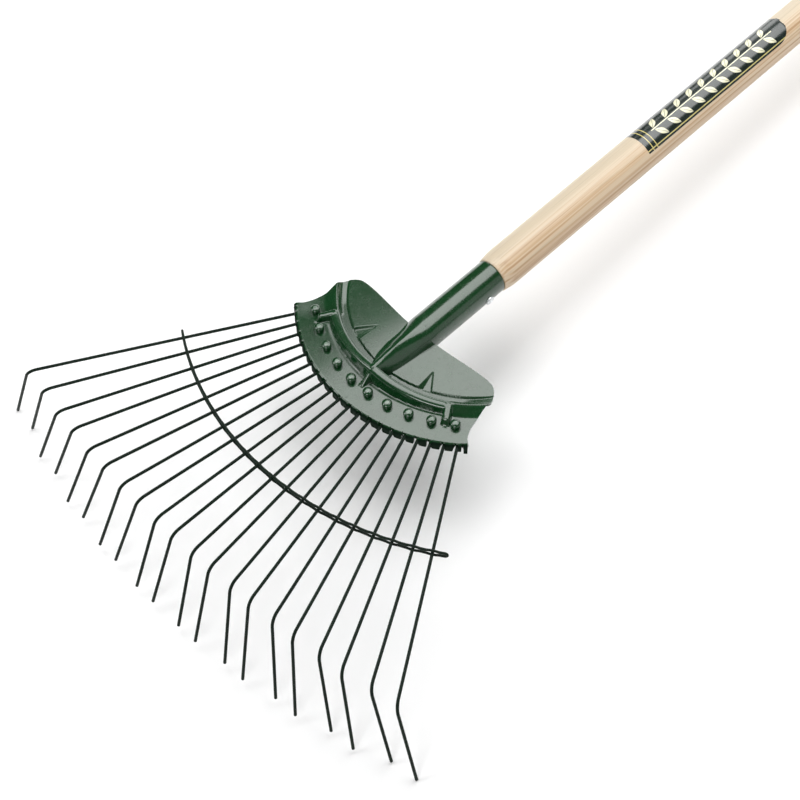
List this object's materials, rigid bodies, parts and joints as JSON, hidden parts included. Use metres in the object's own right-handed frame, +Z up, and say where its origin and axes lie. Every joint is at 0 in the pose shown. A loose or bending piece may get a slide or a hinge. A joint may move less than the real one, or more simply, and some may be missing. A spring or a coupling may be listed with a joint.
{
  "type": "leaf rake",
  "caption": "Spring-tine leaf rake: pressed steel head with a rolled socket, fanned wire tines with hooked tips, a double brace wire and a long ash handle.",
  "frame": {"origin": "bottom centre of the bounding box, with the rake lying on its outer tine tips and the butt of its handle", "axes": "+X forward along the rake to the tines, +Y to the left of the fan, +Z up"},
  "size_m": [1.6224, 0.4024, 0.0814],
  "materials": {
    "green_paint": "glossy dark green stoved paint",
    "tine_wire": "very dark green paint on spring wire",
    "ash_wood": "clear satin lacquer on ash",
    "zinc_screw": "bright zinc plate",
    "transfer_label": "printed transfer film under lacquer"
  },
  "bodies": {
    "rake_body": {"head_pressing": "green_paint", "keeper_plate": "green_paint", "tine_rivets": "green_paint", "handle": "ash_wood", "socket_screw": "zinc_screw", "handle_label": "transfer_label"},
    "tine_fan": {"tine_pair_01": "tine_wire", "tine_pair_02": "tine_wire", "tine_pair_03": "tine_wire", "tine_pair_04": "tine_wire", "tine_pair_05": "tine_wire", "tine_pair_06": "tine_wire", "tine_pair_07": "tine_wire", "tine_pair_08": "tine_wire", "tine_pair_09": "tine_wire", "tine_pair_10": "tine_wire", "brace_wire": "tine_wire"}
  },
  "joints": [
    {"name": "tine_flex", "type": "hinge", "parent": "rake_body", "child": "tine_fan", "pos_m": [0.64649, 0, 0.06767], "axis": [0, -1, 0], "range_deg": [-4, 8], "stiffness_Nm_per_rad": 110, "deforming": ["tine_pair_01", "tine_pair_02", "tine_pair_03", "tine_pair_04", "tine_pair_05", "tine_pair_06", "tine_pair_07", "tine_pair_08", "tine_pair_09", "tine_pair_10"]}
  ]
}
